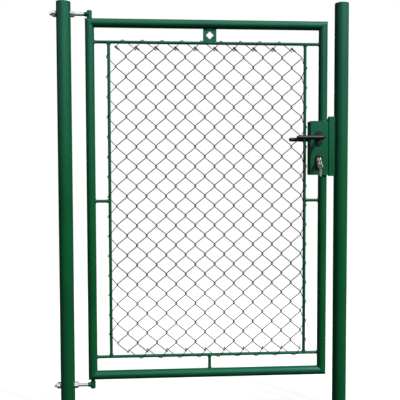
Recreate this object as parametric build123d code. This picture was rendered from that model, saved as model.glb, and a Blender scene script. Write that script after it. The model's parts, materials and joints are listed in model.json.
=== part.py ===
from build123d import *
import math
import os

# Garden gate with a woven wire panel, hung between two round posts. Millimetres.
# X runs from the hinge post to the latch post, Y away from the front, Z up.
# The origin is the centre of the hinge post's foot, at ground level.

# Posts
POST_D = 60.0
POST_WALL = 2.0
POST_ABOVE_LEAF = 76.0
HINGE_POST_LOWER = 12.0
GROUND_GAP = 156.0
CAP_DOME = 5.0
CAP_EDGE = 2.0
CAP_PLUG = 22.0
CAP_PLUG_WALL = 2.0

# Leaf frame
LEAF_WIDTH = 1038.0
LEAF_HEIGHT = 1542.0
FRAME_D = 38.0
FRAME_WALL = 1.5
ROD_D = 13.0
ROD_INSET = 79.0
HINGE_SIDE_GAP = 59.0
LATCH_SIDE_GAP = 32.0
PLATE_WIDTH = 57.0
PLATE_OFFSET = 8.0
STRUT_OFFSET = 5.0
PLATE_THICK = 4.0
PLATE_WINDOW = 24.0

# Woven fabric
MESH_SIDE = 60.0
WIRE = 2.5
KNOT_HALF_HEIGHT = 3.0
KNOT_REACH = 2.0
STRAND_OFFSET = 2.4
HINGE_SIDE_REACH = 30.0
LOCK_SIDE_REACH = 16.5
TOP_REACH = 17.0
BOTTOM_REACH = 16.0
LACING_WIRE = 1.9
LACING_GAP = 0.25
LACING_CORNERS = 5
KNOT_CLEAR = 7.0
KNOT_PASS = 12.0
HOOK_SPREAD = 0.6
# Shares of one turn where the wire meets the rod, tops its far side and leaves it again
HINGE_SIDE_TURN = (0.29, 0.54, 0.73)
LOCK_SIDE_TURN = (0.19, 0.48, 0.75)
TOP_TURN = (0.12, 0.34, 0.78)
BOTTOM_TURN = (0.11, 0.68, 0.94)

# Hinges
THREAD_D = 16.0
NUT_FLATS = 24.0
NUT_THICK = 15.0
NUT_CHAMFER = 1.2
NUT_CHAMFER_REACH = 2.4
ROD_PROUD = 26.0
POST_HOLE_CLEARANCE = 0.5
THREAD_CLEARANCE = 0.05
EYE_D = 21.0
EYE_HEIGHT = 30.0
UPPER_EYE_GAP = 1.5
LOWER_EYE_GAP = 7.0
EYE_NECK_START_D = 17.0
EYE_NECK_D = 25.0
EYE_NECK = 11.0
PIN_D = 12.0
PIN_SHOULDER_D = 14.0
PIN_CLEARANCE = 0.1
PIN_END = 2.0
SEAT_GAP = 0.3

# Lock case
CASE_BELOW_TOP = 430.0
CASE_HEIGHT = 230.0
CASE_WIDTH = 80.0
CASE_DEPTH = 52.0
CASE_WALL = 2.0
CASE_FOLD = 4.0
SPINDLE_BELOW_TOP = 503.0
CYLINDER_DROP = 94.0
BACKSET = 24.0
LATCH_WIDTH = 12.0
LATCH_HEIGHT = 30.0
LATCH_DROP = 2.0
BOLT_WIDTH = 8.0
BOLT_HEIGHT = 34.0
BOLT_DROP = 78.0
BOLT_LENGTH = 30.0
BOLT_CLEARANCE = 0.3

# Handle
ESCUTCHEON_WIDTH = 29.0
ESCUTCHEON_HEIGHT = 64.0
ESCUTCHEON_THICK = 6.0
ESCUTCHEON_EDGE = 2.0
SPINDLE_SIDE = 8.0
SPINDLE_HOLE_D = 18.0
NECK_D = 17.0
NECK_CLEARANCE = 0.3
LEVER_STAND_OFF = 50.0
GRIP_D = 20.0
GRIP_END_D = 17.0
GRIP_LENGTH = 108.0
GRIP_NOSE = 15.0
GRIP_NOSE_D = 5.0

# Lock cylinder and keys
CYLINDER_LENGTH = 66.0
CYLINDER_D = 17.0
CYLINDER_FIN = 10.0
CYLINDER_HEIGHT = 33.0
CYLINDER_CLEARANCE = 0.3
PLUG_D = 13.0
PLUG_LENGTH = 30.0
PLUG_CLEARANCE = 0.1
KEY_THICK = 2.4
KEY_BLADE = 8.0
KEY_BLADE_LENGTH = 28.0
KEY_FIT = 0.1
KEY_NECK = 4.0
KEY_CUTS = 4
KEY_CUT_SIDE = 1.6
KEY_CUT_START = 8.4
KEY_CUT_STEP = 4.76
KEY_BOW_D = 24.0
KEY_HOLE_D = 7.0
KEY_HOLE_OFFSET = 6.0
RING_D = 22.0
RING_WIRE = 1.8
RING_TWIST = 40.0

# Strike plate
STRIKE_GAP = 5.5
STRIKE_HEIGHT = 258.0
STRIKE_ABOVE_CASE = 22.0
STRIKE_DEPTH = 30.0
STRIKE_FRONT = 11.0
STRIKE_THICK = 3.0
STRIKE_SLOT_MARGIN = 1.5
STRIKE_CUT_HEIGHT = 12.0
STRIKE_CUT_DEPTH = 22.0

# Worked out from the sizes above
POST_R = POST_D / 2
FRAME_R = FRAME_D / 2
ROD_R = ROD_D / 2
HINGE_X = POST_R + HINGE_SIDE_GAP + FRAME_R
LOCK_X = HINGE_X + LEAF_WIDTH - FRAME_D
LATCH_POST_X = LOCK_X + FRAME_R + LATCH_SIDE_GAP + POST_R
LEAF_BOTTOM = GROUND_GAP
LEAF_TOP = GROUND_GAP + LEAF_HEIGHT
BOTTOM_RAIL_Z = LEAF_BOTTOM + FRAME_R
TOP_RAIL_Z = LEAF_TOP - FRAME_R
POST_TOP = LEAF_TOP + POST_ABOVE_LEAF
HINGE_POST_TOP = POST_TOP - HINGE_POST_LOWER
MIDDLE_X = (HINGE_X + LOCK_X) / 2
MIDDLE_Z = (BOTTOM_RAIL_Z + TOP_RAIL_Z) / 2
HINGE_ROD_X = HINGE_X + ROD_INSET
LOCK_ROD_X = LOCK_X - ROD_INSET
BOTTOM_ROD_Z = BOTTOM_RAIL_Z + ROD_INSET
TOP_ROD_Z = TOP_RAIL_Z - ROD_INSET
UPPER_EYE_Z = LEAF_TOP + UPPER_EYE_GAP + EYE_HEIGHT / 2
LOWER_EYE_Z = LEAF_BOTTOM - LOWER_EYE_GAP - EYE_HEIGHT / 2
CASE_TOP = LEAF_TOP - CASE_BELOW_TOP
CASE_BOTTOM = CASE_TOP - CASE_HEIGHT
CASE_EDGE_X = LOCK_X + FRAME_R
CASE_FACE = CASE_DEPTH / 2
SPINDLE_X = LOCK_X - BACKSET
SPINDLE_Z = LEAF_TOP - SPINDLE_BELOW_TOP
CYLINDER_Z = SPINDLE_Z - CYLINDER_DROP
LATCH_Z = SPINDLE_Z - LATCH_DROP
BOLT_Z = SPINDLE_Z - BOLT_DROP
GRIP_Y = CASE_FACE + LEVER_STAND_OFF
PLUG_FACE = CYLINDER_LENGTH / 2

# Fabric grid: the sides meet at right angles, so half a diamond is the side over root two
HALF_DIAMOND = MESH_SIDE / math.sqrt(2)
MESH_LEFT = HINGE_ROD_X + HINGE_SIDE_REACH
MESH_RIGHT = LOCK_ROD_X - LOCK_SIDE_REACH
MESH_TOP = TOP_ROD_Z - TOP_REACH
MESH_BOTTOM = BOTTOM_ROD_Z + BOTTOM_REACH
PICKETS = round((MESH_RIGHT - MESH_LEFT) / HALF_DIAMOND)
ROWS = round((MESH_TOP - MESH_BOTTOM) / HALF_DIAMOND)
COLUMN_STEP = (MESH_RIGHT - MESH_LEFT) / PICKETS
ROW_STEP = (MESH_TOP - MESH_BOTTOM) / ROWS


def rod(diameter, start, end):
    """A round bar between two points."""
    axis = Vector(end) - Vector(start)
    return extrude(Plane(origin=start, z_dir=axis) * Circle(diameter / 2), axis.length)


def tube(diameter, wall, start, end):
    """A round tube between two points."""
    return rod(diameter, start, end) - rod(diameter - 2 * wall, start, end)


def across(shape_2d, x, y, z, depth):
    """Extrude a flat outline, drawn in X and Z about a point, backwards along Y."""
    return extrude(Plane(origin=(x, y, z), x_dir=(1, 0, 0), z_dir=(0, 1, 0)) * shape_2d, depth)


def corner(outer_x, outer_z, outwards):
    """A point of the frame's rectangle, moved out or in by the tube's radius."""
    x = LOCK_X if outer_x > 0 else HINGE_X
    z = TOP_RAIL_Z if outer_z > 0 else BOTTOM_RAIL_Z
    step = FRAME_R if outwards else -FRAME_R
    return (x + outer_x * step, z + outer_z * step)


def mitred_tube(first, second):
    """One frame tube between two corners, cut at both ends by the mitre planes."""
    along_x = first[1] == second[1]
    start = (HINGE_X if first[0] < 0 else LOCK_X, 0, BOTTOM_RAIL_Z if first[1] < 0 else TOP_RAIL_Z)
    end = (HINGE_X if second[0] < 0 else LOCK_X, 0, BOTTOM_RAIL_Z if second[1] < 0 else TOP_RAIL_Z)
    longer = Vector(FRAME_R, 0, 0) if along_x else Vector(0, 0, FRAME_R)
    whole = tube(FRAME_D, FRAME_WALL, tuple(Vector(start) - longer), tuple(Vector(end) + longer))
    outline = [corner(*first, True), corner(*second, True), corner(*second, False), corner(*first, False)]
    wedge = Polygon(*outline, align=None)
    return whole & extrude(Plane.XZ * wedge, FRAME_D, both=True)


def hinge_post():
    """Post with a cross hole for each hinge rod."""
    post = tube(POST_D, POST_WALL, (0, 0, 0), (0, 0, HINGE_POST_TOP))
    hole_d = THREAD_D + 2 * POST_HOLE_CLEARANCE
    for z in (UPPER_EYE_Z, LOWER_EYE_Z):
        post -= rod(hole_d, (-POST_D, 0, z), (POST_D, 0, z))
    return post


def latch_post():
    return tube(POST_D, POST_WALL, (LATCH_POST_X, 0, 0), (LATCH_POST_X, 0, POST_TOP))


def post_cap(x, post_top):
    """Plastic cap: a low dome over the tube's end and a hollow plug inside it."""
    plug_r = POST_R - POST_WALL - SEAT_GAP
    crown = CAP_EDGE + CAP_DOME
    dome_r = (POST_R ** 2 + CAP_DOME ** 2) / (2 * CAP_DOME)
    disc = Pos(0, 0, crown / 2) * Cylinder(POST_R, crown)
    ball = Pos(0, 0, crown - dome_r) * Sphere(dome_r)
    plug = tube(2 * plug_r, CAP_PLUG_WALL, (0, 0, -CAP_PLUG), (0, 0, CAP_EDGE))
    return Pos(x, 0, post_top) * ((disc & ball) + plug)


def inner_rods():
    """The smaller rectangle of round rods that carries the fabric."""
    stiles = rod(FRAME_D, (HINGE_X, 0, LEAF_BOTTOM), (HINGE_X, 0, LEAF_TOP))
    stiles += rod(FRAME_D, (LOCK_X, 0, LEAF_BOTTOM), (LOCK_X, 0, LEAF_TOP))
    top = rod(ROD_D, (HINGE_X, 0, TOP_ROD_Z), (LOCK_X, 0, TOP_ROD_Z))
    bottom = rod(ROD_D, (HINGE_X, 0, BOTTOM_ROD_Z), (LOCK_X, 0, BOTTOM_ROD_Z))
    hinge_side = rod(ROD_D, (HINGE_ROD_X, 0, BOTTOM_ROD_Z), (HINGE_ROD_X, 0, TOP_ROD_Z))
    lock_side = rod(ROD_D, (LOCK_ROD_X, 0, BOTTOM_ROD_Z), (LOCK_ROD_X, 0, TOP_ROD_Z))
    return {
        "top_inner_rod": top - stiles,
        "bottom_inner_rod": bottom - stiles,
        "hinge_side_inner_rod": hinge_side - top - bottom,
        "lock_side_inner_rod": lock_side - top - bottom,
    }


def case_body():
    """The lock case as a solid block with folded upright edges."""
    centre = (CASE_EDGE_X - CASE_WIDTH / 2, 0, (CASE_TOP + CASE_BOTTOM) / 2)
    block = Pos(*centre) * Box(CASE_WIDTH, CASE_DEPTH, CASE_HEIGHT)
    return fillet(block.edges().filter_by(Axis.Z), CASE_FOLD)


def struts():
    """Short rods that tie the inner rectangle to the frame, coped to what they meet."""
    ends = case_body() + rod(FRAME_D, (HINGE_X, 0, LEAF_BOTTOM), (HINGE_X, 0, LEAF_TOP))
    ends += rod(FRAME_D, (LOCK_X, 0, LEAF_BOTTOM), (LOCK_X, 0, LEAF_TOP))
    ends += rod(FRAME_D, (HINGE_X, 0, BOTTOM_RAIL_Z), (LOCK_X, 0, BOTTOM_RAIL_Z))
    ends += rod(ROD_D, (HINGE_ROD_X, 0, BOTTOM_ROD_Z), (HINGE_ROD_X, 0, TOP_ROD_Z))
    ends += rod(ROD_D, (LOCK_ROD_X, 0, BOTTOM_ROD_Z), (LOCK_ROD_X, 0, TOP_ROD_Z))
    ends += rod(ROD_D, (HINGE_X, 0, BOTTOM_ROD_Z), (LOCK_X, 0, BOTTOM_ROD_Z))
    strut_x = MIDDLE_X + STRUT_OFFSET
    return {
        "hinge_side_strut": rod(ROD_D, (HINGE_X, 0, MIDDLE_Z), (HINGE_ROD_X, 0, MIDDLE_Z)) - ends,
        "lock_side_strut": rod(ROD_D, (LOCK_ROD_X, 0, MIDDLE_Z), (LOCK_X, 0, MIDDLE_Z)) - ends,
        "bottom_strut": rod(ROD_D, (strut_x, 0, BOTTOM_RAIL_Z), (strut_x, 0, BOTTOM_ROD_Z)) - ends,
    }


def spacer_plate():
    """Flat plate between the top rail and the top rod, with a diamond window."""
    x = MIDDLE_X + PLATE_OFFSET
    open_top = TOP_RAIL_Z - FRAME_R
    open_bottom = TOP_ROD_Z + ROD_R
    blank = Pos(x, 0, (TOP_RAIL_Z + TOP_ROD_Z) / 2) * Box(PLATE_WIDTH, PLATE_THICK, TOP_RAIL_Z - TOP_ROD_Z)
    window = Rot(0, 45, 0) * Box(PLATE_WINDOW, FRAME_D, PLATE_WINDOW)
    plate = blank - Pos(x, 0, (open_top + open_bottom) / 2) * window
    plate -= rod(FRAME_D, (HINGE_X, 0, TOP_RAIL_Z), (LOCK_X, 0, TOP_RAIL_Z))
    plate -= rod(ROD_D, (HINGE_X, 0, TOP_ROD_Z), (LOCK_X, 0, TOP_ROD_Z))
    return plate


def bent_wire(points, side):
    """A square wire swept along a bent line, mitred at each bend."""
    path = Polyline(*points)
    return sweep(Plane(origin=path @ 0, z_dir=path % 0) * Rectangle(side, side), path=path,
                 transition=Transition.RIGHT)


def picket(first_right):
    """One flattened spiral between two columns of knots, its left column at x = 0.

    It falls to the right in front and to the left behind. At each bend it turns from one
    side of the fabric to the other just past the column, inside the next spiral's bend.
    """
    points = []
    for row in range(ROWS + 1):
        rightward = (row + first_right) % 2 == 1
        x = COLUMN_STEP + KNOT_REACH if rightward else -KNOT_REACH
        y = -STRAND_OFFSET if rightward else STRAND_OFFSET
        z = MESH_TOP - row * ROW_STEP
        points.append((x, y, z + KNOT_HALF_HEIGHT))
        points.append((x, -y, z - KNOT_HALF_HEIGHT))
    return bent_wire(points, WIRE)


def fabric():
    """All the spirals side by side, each hooked through its neighbours."""
    kinds = (picket(0), picket(1))
    return Compound(children=[
        Pos(MESH_LEFT + column * COLUMN_STEP, 0, 0) * kinds[column % 2] for column in range(PICKETS)
    ])


def around_rod(knot_u, knot_v, shares, pitch):
    """Corners of the wire's way round a rod, from its knot side over the far side and back.

    They are the corners of a polygon whose sides all touch one circle: the first and last
    sides are the legs to the knot. Each corner is (towards the fabric, sideways, along).
    """
    clear_r = ROD_R + LACING_WIRE * math.sqrt(2) / 2 + LACING_GAP
    touch = math.atan2(knot_v, knot_u) + math.acos(clear_r / math.hypot(knot_u, knot_v))
    step = (2 * math.pi - 2 * touch) / LACING_CORNERS
    corner_r = clear_r / math.cos(step / 2)
    corners = []
    for number in range(LACING_CORNERS):
        angle = touch + (number + 0.5) * step
        half = angle / math.pi
        before, after = (shares[0], shares[1]) if half < 1 else (shares[1], shares[2])
        along = pitch * (before + (after - before) * (half % 1))
        corners.append((corner_r * math.cos(angle), corner_r * math.sin(angle), along))
    return corners


def side_turn(reach, shares, pitch):
    """A turn of lacing beside a spiral's bends, its own bend hooked inside theirs."""
    back_off = reach - KNOT_REACH
    sideways = STRAND_OFFSET + HOOK_SPREAD
    half_height = KNOT_HALF_HEIGHT + HOOK_SPREAD
    turn = [(back_off, -sideways, half_height)]
    turn += around_rod(back_off, -sideways, shares, pitch)
    turn.append((back_off, sideways, pitch - half_height))
    turn.append((reach + KNOT_REACH, 0, pitch))
    return turn


def edge_turn(reach, shares, pitch):
    """A turn of lacing above or below the fabric, passed through under each edge knot."""
    stand_off = STRAND_OFFSET + (WIRE + LACING_WIRE) / math.sqrt(2) + LACING_GAP
    turn = [(reach + KNOT_CLEAR, stand_off, 0)]
    turn += around_rod(reach + KNOT_CLEAR, stand_off, shares, pitch)
    turn.append((reach + KNOT_CLEAR, -stand_off, pitch))
    turn.append((reach + KNOT_PASS, 0, pitch))
    return turn


def lacing(origin, to_fabric, along, side, turns, trim):
    """Wire wound round one inner rod; side is +1 where it passes the rod's front first."""
    local = [
        (u, v, w + number * pitch)
        for number, (turn, pitch) in enumerate(turns)
        for u, v, w in turn
    ]
    local = local[trim[0]:len(local) - trim[1]]
    front = Vector(0, -side, 0)
    points = [
        tuple(Vector(origin) + Vector(to_fabric) * u + front * v + Vector(along) * w)
        for u, v, w in local
    ]
    return bent_wire(points, LACING_WIRE)


def lacings():
    """The four lacing wires. Knots stand where row and column add up to an even number.

    The wires along the top and bottom hold the corner knots, so the side wires start or
    end on their rod there.
    """
    tall, wide = 2 * ROW_STEP, 2 * COLUMN_STEP
    first_row, first_column = PICKETS % 2, ROWS % 2
    hinge_turn = side_turn(HINGE_SIDE_REACH, HINGE_SIDE_TURN, tall)
    lock_turn = side_turn(LOCK_SIDE_REACH, LOCK_SIDE_TURN, tall)
    top_turn = edge_turn(TOP_REACH, TOP_TURN, wide)
    bottom_turn = edge_turn(BOTTOM_REACH, BOTTOM_TURN, wide)
    down, right = (0, 0, -1), (1, 0, 0)
    return {
        "hinge_side_lacing": lacing(
            (HINGE_ROD_X, 0, MESH_TOP), right, down, 1,
            [(hinge_turn, tall)] * (ROWS // 2), (1, 0)),
        "lock_side_lacing": lacing(
            (LOCK_ROD_X, 0, MESH_TOP - first_row * ROW_STEP), (-1, 0, 0), down, -1,
            [(lock_turn, tall)] * ((ROWS - first_row) // 2), (0, 2)),
        "top_lacing": lacing(
            (MESH_LEFT, 0, TOP_ROD_Z), down, right, 1,
            [(top_turn, wide)] * (PICKETS // 2), (0, 0)),
        "bottom_lacing": lacing(
            (MESH_LEFT + first_column * COLUMN_STEP, 0, BOTTOM_ROD_Z), (0, 0, 1), right, -1,
            [(bottom_turn, wide)] * ((PICKETS - first_column) // 2), (0, 0)),
    }


def hex_nut(x, z, direction):
    """A hexagon nut on the hinge rod, its seat at x, chamfered at its outer face."""
    seat = Plane(origin=(x, 0, z), x_dir=(0, 1, 0), z_dir=(direction, 0, 0))
    blank = extrude(seat * RegularPolygon(NUT_FLATS / 2, 6, major_radius=False), NUT_THICK)
    corner_r = NUT_FLATS / math.sqrt(3)
    cone = extrude(seat * Circle(corner_r), NUT_THICK)
    outer_face = cone.faces().sort_by(Axis.X)[-1 if direction > 0 else 0]
    cone = chamfer(outer_face.edges(), NUT_CHAMFER, NUT_CHAMFER_REACH)
    hole = extrude(seat * Circle(THREAD_D / 2 + THREAD_CLEARANCE), NUT_THICK)
    return (blank & cone) - hole


def hinge_hardware(z):
    """Threaded rod through the post, a nut each side, and the eye with its conical neck."""
    neck_end = HINGE_X - EYE_D / 2 - EYE_NECK
    threaded = rod(THREAD_D, (-POST_R - ROD_PROUD, 0, z), (neck_end, 0, z))
    nuts = Compound(children=[hex_nut(-POST_R, z, -1), hex_nut(POST_R, z, 1)])
    bottom, top = (HINGE_X, 0, z - EYE_HEIGHT / 2), (HINGE_X, 0, z + EYE_HEIGHT / 2)
    neck = Pos((neck_end + HINGE_X) / 2, 0, z) * Rot(0, 90, 0) * Cone(
        EYE_NECK_START_D / 2, EYE_NECK_D / 2, HINGE_X - neck_end
    )
    eye = rod(EYE_D, bottom, top) + neck
    eye -= rod(PIN_D + 2 * PIN_CLEARANCE, bottom, top)
    return threaded, eye, nuts


def hinge_pin(direction):
    """Stepped pin welded on the frame's corner, its thin end inside the eye."""
    edge = LEAF_TOP if direction > 0 else LEAF_BOTTOM
    rail_z = TOP_RAIL_Z if direction > 0 else BOTTOM_RAIL_Z
    gap = UPPER_EYE_GAP if direction > 0 else LOWER_EYE_GAP
    shoulder_end = edge + direction * (gap - SEAT_GAP)
    tip = edge + direction * (gap + EYE_HEIGHT - PIN_END)
    pin = rod(PIN_SHOULDER_D, (HINGE_X, 0, rail_z), (HINGE_X, 0, shoulder_end))
    pin += rod(PIN_D, (HINGE_X, 0, shoulder_end), (HINGE_X, 0, tip))
    return pin - rod(FRAME_D, (HINGE_X - FRAME_D, 0, rail_z), (HINGE_X + FRAME_D, 0, rail_z))


def cylinder_outline(gap):
    """Keyhole-shaped section of a profile cylinder, drawn with Z down the page."""
    drop = CYLINDER_HEIGHT - CYLINDER_D / 2
    fin = Pos(0, drop / 2 - CYLINDER_FIN / 4) * Rectangle(CYLINDER_FIN + 2 * gap, drop - CYLINDER_FIN / 2)
    foot = Pos(0, drop - CYLINDER_FIN / 2) * Circle(CYLINDER_FIN / 2 + gap)
    return Circle(CYLINDER_D / 2 + gap) + fin + foot


def lock_case():
    """Folded steel box on the lock stile, bored for the spindle, cylinder and bolts."""
    outer = case_body()
    inner = Pos(*outer.center()) * Box(
        CASE_WIDTH - 2 * CASE_WALL, CASE_DEPTH - 2 * CASE_WALL, CASE_HEIGHT - 2 * CASE_WALL
    )
    inner = fillet(inner.edges().filter_by(Axis.Z), CASE_FOLD - CASE_WALL)
    case = outer - inner
    case -= rod(SPINDLE_HOLE_D, (SPINDLE_X, -CASE_DEPTH, SPINDLE_Z), (SPINDLE_X, CASE_DEPTH, SPINDLE_Z))
    case -= across(cylinder_outline(CYLINDER_CLEARANCE), SPINDLE_X, -CASE_DEPTH, CYLINDER_Z, 2 * CASE_DEPTH)
    for z, width, height in ((LATCH_Z, LATCH_WIDTH, LATCH_HEIGHT), (BOLT_Z, BOLT_WIDTH, BOLT_HEIGHT)):
        slot = Box(4 * CASE_WALL, width + 2 * BOLT_CLEARANCE, height + 2 * BOLT_CLEARANCE)
        case -= Pos(CASE_EDGE_X, 0, z) * slot
    return case


def lock_stiles():
    """The lock side's tube, in two lengths, welded above and below the case."""
    whole = mitred_tube((1, -1), (1, 1))
    gap = Pos(LOCK_X, 0, (CASE_TOP + CASE_BOTTOM) / 2) * Box(FRAME_D * 2, FRAME_D * 2, CASE_HEIGHT)
    pieces = (whole - gap).solids().sort_by(Axis.Z)
    return pieces[0], pieces[1]


def bolt(z, width, height):
    """Latch or dead bolt, drawn in until its end is flush with the case."""
    return Pos(CASE_EDGE_X - BOLT_LENGTH / 2, 0, z) * Box(BOLT_LENGTH, width, height)


def escutcheon(side, z, hole):
    """Rounded oval plate on the front or back of the case, with a hole through it."""
    outline = SlotOverall(ESCUTCHEON_HEIGHT, ESCUTCHEON_WIDTH, rotation=90)
    y = -CASE_FACE - ESCUTCHEON_THICK if side < 0 else CASE_FACE
    plate = across(outline, SPINDLE_X, y, z, ESCUTCHEON_THICK)
    rim = plate.faces().sort_by(Axis.Y)[0 if side < 0 else -1]
    plate = chamfer(rim.edges(), ESCUTCHEON_EDGE)
    return plate - hole


def handle_plate(side):
    hole_d = NECK_D + 2 * NECK_CLEARANCE
    hole = rod(hole_d, (SPINDLE_X, -GRIP_Y, SPINDLE_Z), (SPINDLE_X, GRIP_Y, SPINDLE_Z))
    return escutcheon(side, SPINDLE_Z, hole)


def cylinder_plate(side):
    hole = across(cylinder_outline(CYLINDER_CLEARANCE), SPINDLE_X, -GRIP_Y, CYLINDER_Z, 2 * GRIP_Y)
    middle = CYLINDER_Z - (CYLINDER_HEIGHT - CYLINDER_D) / 2
    return escutcheon(side, middle, hole)


def grip():
    """The bar of a lever: round, tapering to its domed end and to a blunt nose."""
    end_r = GRIP_END_D / 2
    outline = Line((-GRIP_LENGTH, 0), (GRIP_NOSE, 0))
    outline += Line((GRIP_NOSE, 0), (GRIP_NOSE, GRIP_NOSE_D / 2))
    outline += Line((GRIP_NOSE, GRIP_NOSE_D / 2), (GRIP_D / 4, GRIP_D / 2))
    outline += Line((GRIP_D / 4, GRIP_D / 2), (-GRIP_D / 2, GRIP_D / 2))
    outline += Line((-GRIP_D / 2, GRIP_D / 2), (-GRIP_LENGTH + end_r, end_r))
    outline += RadiusArc((-GRIP_LENGTH + end_r, end_r), (-GRIP_LENGTH, 0), -end_r)
    return revolve(make_face(outline), Axis.X)


def lever(side):
    """Lever handle on one side of the case, its neck bored for the spindle."""
    neck = rod(NECK_D, (SPINDLE_X, side * (CASE_FACE + SEAT_GAP), SPINDLE_Z),
               (SPINDLE_X, side * GRIP_Y, SPINDLE_Z))
    body = neck + Pos(SPINDLE_X, side * GRIP_Y, SPINDLE_Z) * grip()
    return body - spindle()


def spindle():
    """Square bar through the case that both levers sit on."""
    reach = GRIP_Y - GRIP_D / 2
    return Pos(SPINDLE_X, 0, SPINDLE_Z) * Box(SPINDLE_SIDE, 2 * reach, SPINDLE_SIDE)


def lock_cylinder():
    """Profile cylinder right through the case, bored at the front for the plug."""
    body = across(cylinder_outline(0), SPINDLE_X, -PLUG_FACE, CYLINDER_Z, CYLINDER_LENGTH)
    bore_r = PLUG_D / 2 + PLUG_CLEARANCE
    body -= across(Circle(bore_r), SPINDLE_X, -PLUG_FACE, CYLINDER_Z, PLUG_LENGTH + SEAT_GAP)
    blade = Rectangle(KEY_THICK + 2 * KEY_FIT, KEY_BLADE + 2 * KEY_FIT)
    body -= across(blade, SPINDLE_X, PLUG_FACE - PLUG_LENGTH, CYLINDER_Z, PLUG_LENGTH)
    return body


def plug():
    """Turning core of the lock cylinder, with its keyway."""
    core = across(Circle(PLUG_D / 2), SPINDLE_X, -PLUG_FACE, CYLINDER_Z, PLUG_LENGTH)
    keyway = Rectangle(KEY_THICK + 2 * KEY_FIT, KEY_BLADE + 2 * KEY_FIT)
    return core - across(keyway, SPINDLE_X, -PLUG_FACE, CYLINDER_Z, KEY_BLADE_LENGTH + SEAT_GAP)


def flat_key():
    """A key drawn flat: blade along +X from the shoulder at the origin, round bow behind."""
    bow_x = -KEY_NECK - KEY_BOW_D / 2
    outline = Pos(KEY_BLADE_LENGTH / 2 - KEY_NECK / 2, 0) * Rectangle(KEY_BLADE_LENGTH + KEY_NECK, KEY_BLADE)
    outline += Pos(bow_x, 0) * Circle(KEY_BOW_D / 2)
    outline += Pos(bow_x + KEY_BOW_D / 2 - KEY_NECK / 2, 0) * Rectangle(KEY_NECK * 2, KEY_BLADE)
    outline -= Pos(bow_x - KEY_HOLE_OFFSET, 0) * Circle(KEY_HOLE_D / 2)
    notch = Rot(0, 0, 45) * Rectangle(KEY_CUT_SIDE, KEY_CUT_SIDE)
    for cut in range(KEY_CUTS):
        outline -= Pos(KEY_CUT_START + cut * KEY_CUT_STEP, KEY_BLADE / 2) * notch
    return extrude(outline, KEY_THICK / 2, both=True)


def key_hole_reach():
    """From the key's shoulder to the centre of the hole in its bow."""
    return KEY_NECK + KEY_BOW_D / 2 + KEY_HOLE_OFFSET


def key():
    """Key in the plug, blade upright."""
    place = Location(Plane(origin=(SPINDLE_X, -PLUG_FACE, CYLINDER_Z), x_dir=(0, 1, 0), z_dir=(1, 0, 0)))
    return place * flat_key()


def ring_centre():
    """The ring hangs inside the key's hole, its wire on the hole's lowest side."""
    drop = (RING_D - RING_WIRE) / 2 - (KEY_HOLE_D - RING_WIRE) / 2 + SEAT_GAP
    return Vector(SPINDLE_X, -PLUG_FACE - key_hole_reach(), CYLINDER_Z - drop)


def key_ring():
    """Plain wire ring, hung through the key's bow and turned partly sideways."""
    around = Torus((RING_D - RING_WIRE) / 2, RING_WIRE / 2)
    return Pos(ring_centre()) * Rot(0, 0, RING_TWIST) * Rot(90, 0, 0) * around


def spare_key():
    """Second key, hanging blade down from the ring."""
    bottom = ring_centre() - Vector(0, 0, (RING_D - RING_WIRE) / 2)
    hole = bottom - Vector(0, 0, (KEY_HOLE_D - RING_WIRE) / 2 - SEAT_GAP)
    shoulder = hole - Vector(0, 0, key_hole_reach())
    across_ring = (math.cos(math.radians(RING_TWIST)), math.sin(math.radians(RING_TWIST)), 0)
    place = Location(Plane(origin=tuple(shoulder), x_dir=(0, 0, -1), z_dir=across_ring))
    return place * flat_key()


def strike_plate():
    """Folded strip on the latch post: a slotted web beside the lock and a front flange."""
    web_x = CASE_EDGE_X + STRIKE_GAP
    top = CASE_TOP + STRIKE_ABOVE_CASE
    front = -STRIKE_FRONT
    outline = Polyline(
        (web_x, front + STRIKE_DEPTH), (web_x, front), (LATCH_POST_X, front),
        (LATCH_POST_X, front + STRIKE_THICK), (web_x + STRIKE_THICK, front + STRIKE_THICK),
        (web_x + STRIKE_THICK, front + STRIKE_DEPTH), close=True,
    )
    base = Plane(origin=(0, 0, top - STRIKE_HEIGHT))
    strip = extrude(base * make_face(outline), STRIKE_HEIGHT)
    fold = strip.edges().filter_by(Axis.Z).sort_by(lambda e: e.center().X + e.center().Y)[0]
    strip = fillet(fold, STRIKE_THICK)
    strip -= rod(POST_D, (LATCH_POST_X, 0, 0), (LATCH_POST_X, 0, POST_TOP))
    for z, width, height in ((LATCH_Z, LATCH_WIDTH, LATCH_HEIGHT), (BOLT_Z, BOLT_WIDTH, BOLT_HEIGHT)):
        slot = Box(4 * STRIKE_THICK, width + 2 * STRIKE_SLOT_MARGIN, height + 2 * STRIKE_SLOT_MARGIN)
        strip -= Pos(web_x, 0, z) * slot
    return strip - strike_corners(web_x, front + STRIKE_DEPTH, top)


def strike_corners(web_x, back, top):
    """The two corners cut off the strike's web at its back edge."""
    corners = []
    for z, inwards in ((top, -1), (top - STRIKE_HEIGHT, 1)):
        outline = make_face(Polyline(
            (back - STRIKE_CUT_DEPTH, z), (back, z), (back, z + inwards * STRIKE_CUT_HEIGHT), close=True
        ))
        corners.append(extrude(Plane.YZ.offset(web_x - STRIKE_THICK) * outline, 3 * STRIKE_THICK))
    return corners


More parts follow.
